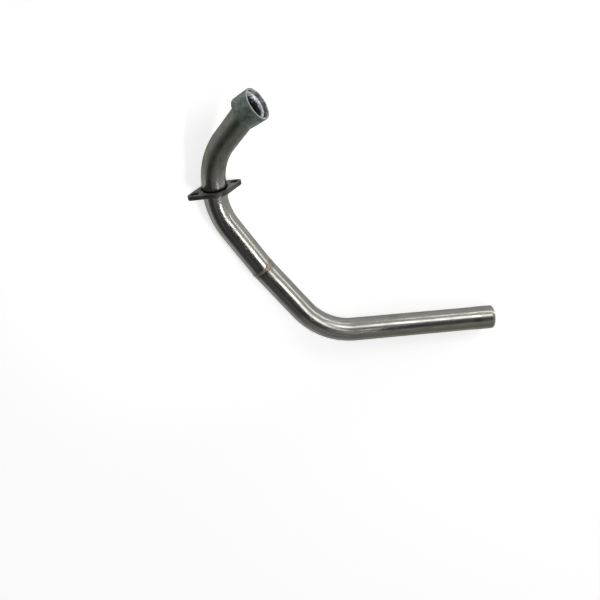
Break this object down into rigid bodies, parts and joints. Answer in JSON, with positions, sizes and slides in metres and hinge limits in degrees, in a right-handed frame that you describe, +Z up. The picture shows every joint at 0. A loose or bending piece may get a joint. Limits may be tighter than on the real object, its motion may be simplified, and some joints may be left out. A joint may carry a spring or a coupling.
{
  "type": "motorcycle exhaust header",
  "caption": "Bent stainless exhaust header for a small motorcycle, with a welded port collar, a loose two-bolt flange and a plain slip end that plugs into the next pipe.",
  "frame": {"origin": "the middle of the port collar's mouth", "axes": "the header lies at rest with +Z up; the tail pipe points along +X, seen from above; +Y completes a right-handed frame"},
  "size_m": [0.3817, 0.3175, 0.0792],
  "materials": {
    "collar_steel": "turned mild steel, dull grey with a greenish cast",
    "mouth_bead": "rough bright weld metal",
    "upper_tube": "satin stainless tube, duller towards the collar",
    "heat_tint": "weld bead with a brown heat tint",
    "lower_tube": "brushed stainless tube",
    "flange_plate": "dark plate with worn edges"
  },
  "bodies": {
    "root": {"port_collar": "collar_steel", "mouth_weld": "mouth_bead", "collar_weld": "collar_steel", "upper_pipe": "upper_tube", "butt_weld": "heat_tint", "lower_pipe": "lower_tube", "port_flange": "flange_plate"}
  },
  "joints": []
}
